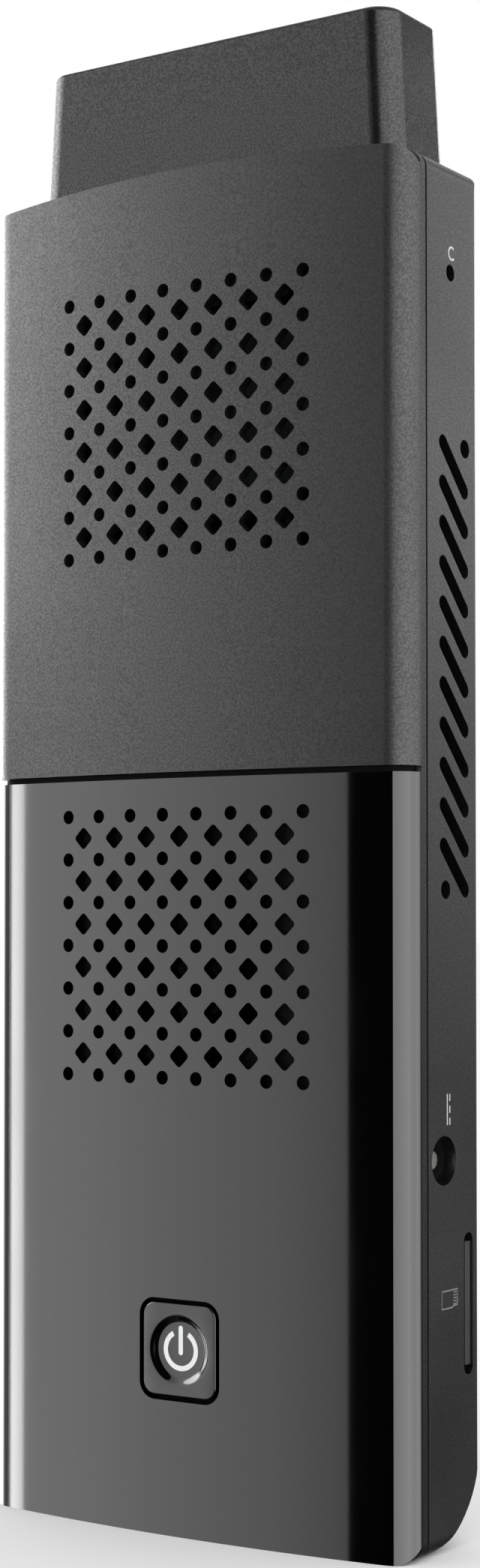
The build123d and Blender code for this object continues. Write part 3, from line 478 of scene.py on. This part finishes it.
def diamond_points(x, z, side, corner, count=4):
    # A square set on its point, its corners a little rounded.
    reach = side / math.sqrt(2) - corner * math.sqrt(2)
    points = []
    for quarter in range(4):
        base = quarter * math.pi / 2
        cx = x + reach * math.cos(base)
        cz = z + reach * math.sin(base)
        for step in range(count + 1):
            angle = base - math.pi / 4 + math.pi / 2 * step / count
            points.append((run_of(cx + corner * math.cos(angle)), cz + corner * math.sin(angle)))
    return points


def rounded_rectangle(width, height, corner, count=8):
    points = []
    for quarter, (sx, sz) in enumerate(((1, 1), (-1, 1), (-1, -1), (1, -1))):
        for step in range(count + 1):
            angle = quarter * math.pi / 2 + math.pi / 2 * step / count
            x = sx * (width / 2 - corner) + corner * math.cos(angle)
            z = sz * (height / 2 - corner) + corner * math.sin(angle)
            points.append((x, z))
    return points


def vent_holes(middle):
    holes = []
    for row in range(VENT_ROWS):
        for column in range(VENT_COLUMNS):
            x = (column - (VENT_COLUMNS - 1) / 2) * VENT_PITCH_X
            z = middle + (row - (VENT_ROWS - 1) / 2) * VENT_PITCH_Z
            holes.append(circle_points(x, z, VENT_HOLE_RADIUS, VENT_HOLE_CORNERS))
    for row in range(VENT_ROWS - 1):
        for column in range(VENT_COLUMNS - 1):
            x = (column - (VENT_COLUMNS - 2) / 2) * VENT_PITCH_X
            z = middle + (row - (VENT_ROWS - 2) / 2) * VENT_PITCH_Z
            holes.append(diamond_points(x, z, VENT_SQUARE_SIDE, VENT_SQUARE_ROUND))
    return holes


def key_hole():
    points = rounded_rectangle(KEY_WIDTH + 2 * KEY_GAP, KEY_HEIGHT + 2 * KEY_GAP, KEY_CORNER + KEY_GAP)
    return [(run_of(x), KEY_Z + z) for x, z in points]


def flat_sheet(outline, holes):
    # The unrolled cover as flat faces, cut across so that it can bend.
    work = bmesh.new()
    for loop in [outline] + holes:
        verts = [work.verts.new((s, z, 0)) for s, z in loop]
        for a, b in zip(verts, verts[1:] + verts[:1]):
            work.edges.new((a, b))
    bmesh.ops.triangle_fill(work, use_beauty=True, edges=work.edges[:])
    for step in run_steps()[1:-1]:
        everything = work.verts[:] + work.edges[:] + work.faces[:]
        bmesh.ops.bisect_plane(
            work, geom=everything, dist=CUT_TOLERANCE, plane_co=(step, 0, 0), plane_no=(1, 0, 0)
        )
    work.verts.index_update()
    points = [(v.co.x, v.co.y) for v in work.verts]
    faces = []
    rims = []
    for face in work.faces:
        ring = [v.index for v in face.verts]
        area = sum(
            points[a][0] * points[b][1] - points[b][0] * points[a][1] for a, b in zip(ring, ring[1:] + ring[:1])
        )
        if area < 0:
            ring.reverse()
        faces.append(ring)
    count = {}
    for ring in faces:
        for a, b in zip(ring, ring[1:] + ring[:1]):
            count[(a, b)] = count.get((a, b), 0) + 1
    for a, b in count:
        if (b, a) not in count:
            rims.append((a, b))
    work.free()
    return points, faces, rims


def build_mesh(name, verts, faces, normals):
    # For each face, normals holds a direction for every corner, or None for the face's own flat one.
    mesh = bpy.data.meshes.new(name)
    mesh.from_pydata([tuple(c * MM for c in v) for v in verts], [], faces)
    mesh.update()
    loops = []
    for polygon in mesh.polygons:
        polygon.use_smooth = True
        given = normals[polygon.index]
        for corner in range(polygon.loop_total):
            loops.append(tuple(polygon.normal) if given is None else given[corner])
    mesh.normals_split_custom_set(loops)
    piece = bpy.data.objects.new(name, mesh)
    bpy.context.scene.collection.objects.link(piece)
    return piece


def cover(name, outline, holes, material):
    points, flat_faces, rims = flat_sheet(outline, holes)
    verts = []
    outward = []
    for s, z in points:
        x, y, angle = section(s)
        verts.append((x, y, z))
        outward.append((math.sin(angle), -math.cos(angle), 0.0))
    total = len(points)
    for (x, y, z), (nx, ny, _) in zip(verts[:total], outward):
        verts.append((x - nx * WALL, min(y - ny * WALL, COVER_BACK_Y), z))
    faces = []
    normals = []
    for ring in flat_faces:
        faces.append(ring)
        normals.append([outward[i] for i in ring])
    for ring in flat_faces:
        back = [i + total for i in reversed(ring)]
        faces.append(back)
        normals.append([tuple(-c for c in outward[i - total]) for i in back])
    for a, b in rims:
        faces.append([b, a, a + total, b + total])
        normals.append(None)
    piece = build_mesh(name, verts, faces, normals)
    piece.data.materials.append(material)
    return piece


def make_covers(made):
    steps = run_steps()
    upper = [(s, GROOVE_Z + GROOVE_WIDTH / 2) for s in steps]
    upper += [(s, end_height(section(s)[0])) for s in reversed(steps)]
    lower = [(s, bottom_height(section(s)[0])) for s in steps]
    lower += [(s, GROOVE_Z - GROOVE_WIDTH / 2) for s in reversed(steps)]
    piece = cover("upper_cover_skin", upper, vent_holes(UPPER_VENT_Z), made["upper_cover"])
    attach(piece, "case")
    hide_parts("upper_cover")
    piece = cover("lower_panel_skin", lower, vent_holes(LOWER_VENT_Z) + [key_hole()], made["lower_panel"])
    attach(piece, "case")
    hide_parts("lower_panel")


# Power key: a rounded block with a soft bowl, and behind it a matt flange and stem
KEY_FACE_Y = FRONT_Y + 0.05
KEY_BACK_Y = FRONT_Y + 1.52
KEY_SOFT_EDGE = 0.14
KEY_SOFT_STEPS = 4
KEY_SIDES = 128
BOWL_RADIUS = 3.3
BOWL_FLOOR_RADIUS = 2.45
BOWL_DEPTH = 0.31
BOWL_STEPS = 12
FLANGE_RIM = 1.1
FLANGE_FRONT_Y = FRONT_Y + 1.5
FLANGE_BACK_Y = FRONT_Y + 2.1
STEM_RADIUS = 1.5
STEM_BACK_Y = -2.7


def key_rings():
    rings = []
    for step in range(BOWL_STEPS + 1):
        share = step / BOWL_STEPS
        radius = BOWL_FLOOR_RADIUS + (BOWL_RADIUS - BOWL_FLOOR_RADIUS) * share
        fall = BOWL_DEPTH * (1 - (3 * share**2 - 2 * share**3))
        rings.append(("circle", radius, KEY_FACE_Y + fall))
    for step in range(KEY_SOFT_STEPS + 1):
        angle = math.pi / 2 * step / KEY_SOFT_STEPS
        inset = KEY_SOFT_EDGE * (1 - math.sin(angle))
        rings.append(("block", inset, KEY_FACE_Y + KEY_SOFT_EDGE * (1 - math.cos(angle))))
    rings.append(("block", 0.0, KEY_BACK_Y))
    return rings


FLANGE_RINGS = [
    ("block", -FLANGE_RIM, FLANGE_FRONT_Y),
    ("block", -FLANGE_RIM, FLANGE_BACK_Y),
    ("circle", STEM_RADIUS, FLANGE_BACK_Y),
    ("circle", STEM_RADIUS, STEM_BACK_Y),
]


def ring_points(kind, size, count):
    # A circle of a given radius, or the key's outline taken in by a given amount.
    points = []
    for index in range(count):
        angle = 2 * math.pi * index / count
        if kind == "circle":
            points.append((size * math.cos(angle), size * math.sin(angle)))
            continue
        half_x = KEY_WIDTH / 2 - size
        half_z = KEY_HEIGHT / 2 - size
        corner = KEY_CORNER - size
        inner_x = half_x - corner
        inner_z = half_z - corner
        c = math.cos(angle)
        s = math.sin(angle)
        reach = min(half_x / max(abs(c), 1e-9), half_z / max(abs(s), 1e-9))
        if abs(c) * reach > inner_x and abs(s) * reach > inner_z:
            b = abs(c) * inner_x + abs(s) * inner_z
            reach = b + math.sqrt(b * b - inner_x**2 - inner_z**2 + corner**2)
        points.append((c * reach, s * reach))
    return points


def ringed_piece(name, rings, material):
    # A solid skin through a row of rings, closed at both ends.
    count = KEY_SIDES
    verts = []
    faces = []
    for kind, size, y in rings:
        verts += [(x, y, KEY_Z + z) for x, z in ring_points(kind, size, count)]
    faces.append(list(range(count)))
    for ring in range(len(rings) - 1):
        for index in range(count):
            nxt = (index + 1) % count
            a = ring * count + index
            b = ring * count + nxt
            faces.append([b, a, a + count, b + count])
    last = (len(rings) - 1) * count
    faces.append([last + i for i in reversed(range(count))])
    mesh = bpy.data.meshes.new(name)
    mesh.from_pydata([tuple(c * MM for c in v) for v in verts], [], faces)
    for polygon in mesh.polygons:
        polygon.use_smooth = True
    mesh.set_sharp_from_angle(angle=math.radians(KEY_EDGE_ANGLE))
    piece = bpy.data.objects.new(name, mesh)
    bpy.context.scene.collection.objects.link(piece)
    mesh.materials.append(material)
    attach(piece, "power_button")
    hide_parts("power_key")


def make_key(made):
    ringed_piece("power_key_body", key_rings(), made["button_key"])
    ringed_piece("power_key_flange", FLANGE_RINGS, made["flange_matt"])


# Marks printed on the right side: thin inked shapes, drawn in the side's own plane (y, z)
INK_X = HALF_WIDTH + 0.004
INK_ROOT_X = HALF_WIDTH - 0.02
RESET_MARK_Y = 0.55
RESET_MARK_Z = -11.29
RESET_MARK_RADIUS = 0.56
RESET_MARK_START = 48
RESET_MARK_END = 305
RESET_MARK_STEPS = 14
RESET_MARK_TIP = (0.98, -11.68)
RESET_MARK_STROKE = 0.2
CURRENT_MARK_STROKE = 0.16
CURRENT_LINE = [(-0.58, -89.18), (-0.58, -86.42)]
CURRENT_DASH_Y = -0.12
CURRENT_DASH_LOW_Z = -89.18
CURRENT_DASH_HIGH_Z = -88.55
CURRENT_DASH_PITCH = 1.05
CURRENT_DASH_COUNT = 3
CARD_MARK_OUTLINE = [(-1.6, -103.8), (1.2, -103.8), (1.2, -105.2), (0.5, -105.2), (0.3, -105.35), (-1.6, -105.35)]
CARD_MARK_STROKE = 0.14
CARD_TOOTH_YS = (0.45, 1.05)
CARD_TOOTH_Z = -104.02
CARD_TOOTH_PITCH = 0.26
CARD_TOOTH_COUNT = 5
CARD_TOOTH_STROKE = 0.1


def ribbon(points, width, closed=False):
    # A stroke of even width along a line in the side's plane (y, z).
    path = [Vector(p) for p in points]
    left = []
    right = []
    count = len(path)
    for index, point in enumerate(path):
        before = path[(index - 1) % count] if closed or index else point
        after = path[(index + 1) % count] if closed or index < count - 1 else point
        along = (after - before).normalized()
        out = Vector((-along.y, along.x)) * (width / 2)
        left.append(point + out)
        right.append(point - out)
    return left, right


def ink_piece(name, strokes, material):
    verts = []
    faces = []
    for points, width, closed in strokes:
        left, right = ribbon(points, width, closed)
        first = len(verts)
        count = len(left)
        for x in (INK_X, INK_ROOT_X):
            verts += [(x, p.x, p.y) for p in left]
            verts += [(x, p.x, p.y) for p in right]
        spans = count if closed else count - 1
        for index in range(spans):
            a = first + index
            b = first + (index + 1) % count
            c = b + count
            d = a + count
            deep = 2 * count
            faces.append([a, b, c, d])
            faces.append([a + deep, d + deep, c + deep, b + deep])
            faces.append([b, a, a + deep, b + deep])
            faces.append([d, c, c + deep, d + deep])
        if not closed:
            for index, flip in ((0, False), (count - 1, True)):
                a = first + index
                ring = [a, a + count, a + 3 * count, a + 2 * count]
                faces.append(ring if flip else ring[::-1])
    mesh = bpy.data.meshes.new(name)
    mesh.from_pydata([tuple(c * MM for c in v) for v in verts], [], faces)
    work = bmesh.new()
    work.from_mesh(mesh)
    bmesh.ops.recalc_face_normals(work, faces=work.faces[:])
    work.to_mesh(mesh)
    work.free()
    piece = bpy.data.objects.new(name, mesh)
    bpy.context.scene.collection.objects.link(piece)
    mesh.materials.append(material)
    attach(piece, "case")


def arc(y, z, radius, start, end, steps):
    points = []
    for index in range(steps + 1):
        angle = math.radians(start + (end - start) * index / steps)
        points.append((y + radius * math.cos(angle), z + radius * math.sin(angle)))
    return points


def reset_strokes():
    curve = arc(RESET_MARK_Y, RESET_MARK_Z, RESET_MARK_RADIUS, RESET_MARK_START, RESET_MARK_END, RESET_MARK_STEPS)
    return [(curve + [RESET_MARK_TIP], RESET_MARK_STROKE, False)]


def current_strokes():
    strokes = [(CURRENT_LINE, CURRENT_MARK_STROKE, False)]
    for index in range(CURRENT_DASH_COUNT):
        low = CURRENT_DASH_LOW_Z + CURRENT_DASH_PITCH * index
        high = CURRENT_DASH_HIGH_Z + CURRENT_DASH_PITCH * index
        strokes.append(([(CURRENT_DASH_Y, low), (CURRENT_DASH_Y, high)], CURRENT_MARK_STROKE, False))
    return strokes


def card_strokes():
    strokes = [(CARD_MARK_OUTLINE, CARD_MARK_STROKE, True)]
    for index in range(CARD_TOOTH_COUNT):
        z = CARD_TOOTH_Z - CARD_TOOTH_PITCH * index
        strokes.append(([(y, z) for y in CARD_TOOTH_YS], CARD_TOOTH_STROKE, False))
    return strokes


def make_marks():
    ink = finish("side_ink", (0.62, 0.63, 0.63), 0.5, grain=3000, speckle=0.08, wear=0.0)
    faint = finish("side_ink_faint", (0.2, 0.2, 0.2), 0.5, grain=3000, speckle=0.08, wear=0.0)
    ink_piece("mark_reset", reset_strokes(), ink)
    ink_piece("mark_direct_current", current_strokes(), ink)
    ink_piece("mark_card", card_strokes(), faint)


# Studio: floor, lamps and the cards that the gloss panel mirrors, in metres
FLOOR_REACH = 6.0
FLOOR_SHADES = (0.93, 0.95)
FLOOR_GRAIN = 3.0
WORLD_IN_GLOSS = 0.5


def make_floor():
    mesh = bpy.data.meshes.new("floor")
    low = BODY_BOTTOM * MM
    corners = [(FLOOR_REACH * x, FLOOR_REACH * y, low) for x, y in ((-1, -1), (1, -1), (1, 1), (-1, 1))]
    mesh.from_pydata(corners, [], [(0, 1, 2, 3)])
    floor = bpy.data.objects.new("floor", mesh)
    bpy.context.scene.collection.objects.link(floor)
    material, tree, shader = new_material("floor_white")
    coords = tree.nodes.new("ShaderNodeTexCoord").outputs["Object"]
    darker, lighter = FLOOR_SHADES
    colour = add_ramp(tree, add_noise(tree, coords, FLOOR_GRAIN), [(0.3, (darker,) * 3), (0.7, (lighter,) * 3)])
    tree.links.new(colour, shader.inputs["Base Color"])
    shader.inputs["Roughness"].default_value = 0.9
    shader.inputs["Specular IOR Level"].default_value = 0.0
    mesh.materials.append(material)
    floor.visible_glossy = False


def make_world():
    world = bpy.data.worlds.new("studio")
    bpy.context.scene.world = world
    world.use_nodes = True
    tree = world.node_tree
    tree.nodes.clear()
    output = tree.nodes.new("ShaderNodeOutputWorld")
    shader = tree.nodes.new("ShaderNodeBackground")
    paths = tree.nodes.new("ShaderNodeLightPath")
    colour = mixed(tree, paths.outputs["Is Glossy Ray"], (1.0, 1.0, 1.0), (WORLD_IN_GLOSS,) * 3)
    tree.links.new(colour, shader.inputs[0])
    shader.inputs[1].default_value = 1.0
    tree.links.new(shader.outputs[0], output.inputs[0])


# How bright the studio is all round, by direction (degrees from the front towards the right)
CARD_STOPS = [
    (-180, 0.7),
    (-142, 0.7),
    (-134, 6.0),
    (-106, 6.0),
    (-98, 4.0),
    (-84, 4.0),
    (-77, 0.5),
    (-53.1, 0.4),
    (-52.85, 9.0),
    (-51.7, 6.0),
    (-51.3, 1.55),
    (-44, 1.5),
    (-26, 1.05),
    (-19.0, 0.75),
    (-18.7, 0.0),
    (21.0, 0.0),
    (22.4, 2.1),
    (45, 2.4),
    (80, 2.9),
    (100, 2.3),
    (120, 2.2),
    (132, 1.6),
    (142, 1.0),
    (180, 1.0),
]

# The cards by height: radius, height, then the strength in front and the strength behind on the right
CARD_ROWS = [
    (0.01, -3.0, 0.03, 0.0),
    (3.0, -3.0, 0.03, 0.0),
    (3.0, -1.9, 0.1, 0.02),
    (3.0, -1.1, 1.0, 0.02),
    (3.0, -0.3, 1.0, 0.1),
    (3.0, 0.3, 1.0, 0.55),
    (3.0, 0.5, 1.0, 1.2),
    (3.0, 0.62, 1.0, 4.2),
    (3.0, 1.1, 1.0, 4.2),
    (3.0, 1.5, 0.9, 0.5),
    (3.0, 2.4, 0.8, 0.2),
]
CARD_STEPS_PER_DEGREE = 2

# Where the strength behind on the right takes over
SIDE_START = 132
SIDE_BLEND = 10

# A dark gap high up behind, for the side of the plug's cover
CAP_GAP = (138, 162)
CAP_GAP_ROW = 7

# A bright card high up on the left, for the matt front cover
COVER_CARD = (-78, -53)
COVER_CARD_ROW = 6
COVER_CARD_LEVEL = 6.0


def card_level(angle, row):
    # The brightness by direction, blended behind on the right into the row's own strength there.
    for (a, low), (b, high) in zip(CARD_STOPS, CARD_STOPS[1:]):
        if a <= angle <= b:
            level = low + (high - low) * (angle - a) / (b - a)
            break
    share = min(max((angle - SIDE_START) / SIDE_BLEND, 0.0), 1.0)
    front, side = CARD_ROWS[row][2:]
    if row >= CAP_GAP_ROW and CAP_GAP[0] < angle < CAP_GAP[1]:
        side = 0.0
    if row >= COVER_CARD_ROW and COVER_CARD[0] < angle < COVER_CARD[1]:
        level = COVER_CARD_LEVEL
    return level * (front * (1 - share) + share * side)


def make_cards():
    # A tall ring of studio cards, seen in gloss only; its brightness is painted on its corners.
    verts = []
    levels = []
    half_turn = 180 * CARD_STEPS_PER_DEGREE
    even = [step / CARD_STEPS_PER_DEGREE for step in range(-half_turn, half_turn + 1)]
    angles = sorted(set(even + [a for a, _ in CARD_STOPS]))
    rows = len(CARD_ROWS)
    for angle in angles:
        x = math.sin(math.radians(angle))
        y = -math.cos(math.radians(angle))
        for row, (radius, height, _, _) in enumerate(CARD_ROWS):
            verts.append((radius * x, radius * y, height))
            levels.append(card_level(angle, row))
    faces = []
    for i in range(len(angles) - 1):
        for row in range(rows - 1):
            a = i * rows + row
            faces.append((a, a + 1, a + rows + 1, a + rows))
    mesh = bpy.data.meshes.new("studio_cards")
    mesh.from_pydata(verts, [], faces)
    layer = mesh.color_attributes.new("level", "FLOAT_COLOR", "POINT")
    for entry, level in zip(layer.data, levels):
        entry.color = (level, level, level, 1.0)
    cards = bpy.data.objects.new("studio_cards", mesh)
    bpy.context.scene.collection.objects.link(cards)
    material = bpy.data.materials.new("studio_cards")
    material.use_nodes = True
    tree = material.node_tree
    tree.nodes.clear()
    output = tree.nodes.new("ShaderNodeOutputMaterial")
    emission = tree.nodes.new("ShaderNodeEmission")
    paint = tree.nodes.new("ShaderNodeVertexColor")
    paint.layer_name = "level"
    tree.links.new(paint.outputs[0], emission.inputs[0])
    tree.links.new(emission.outputs[0], output.inputs[0])
    mesh.materials.append(material)
    material.cycles.emission_sampling = "NONE"
    cards.visible_camera = False
    cards.visible_diffuse = False
    cards.visible_shadow = False
    cards.visible_transmission = False


# Lamps: name, place, what it points at, size, power in watts
LAMPS = [
    ("key_lamp", (0.5, -0.35, 0.5), (0, 0, -0.02), 0.5, 0.5),
    ("fill_lamp", (-0.5, -0.5, 0.35), (0, 0, -0.05), 0.6, 0.3),
]


def add_lamp(name, place, target, size, power):
    data = bpy.data.lights.new(name, "AREA")
    data.shape = "SQUARE"
    data.size = size
    data.energy = power
    lamp = bpy.data.objects.new(name, data)
    lamp.location = place
    lamp.rotation_euler = (Vector(target) - Vector(place)).to_track_quat("-Z", "Y").to_euler()
    lamp.visible_glossy = False
    bpy.context.scene.collection.objects.link(lamp)


make_camera()
materials = make_materials()
dress_nodes(materials)
make_covers(materials)
make_key(materials)
make_marks()
make_floor()
make_world()
make_cards()
for lamp_facts in LAMPS:
    add_lamp(*lamp_facts)
bpy.context.scene.view_settings.view_transform = "Standard"
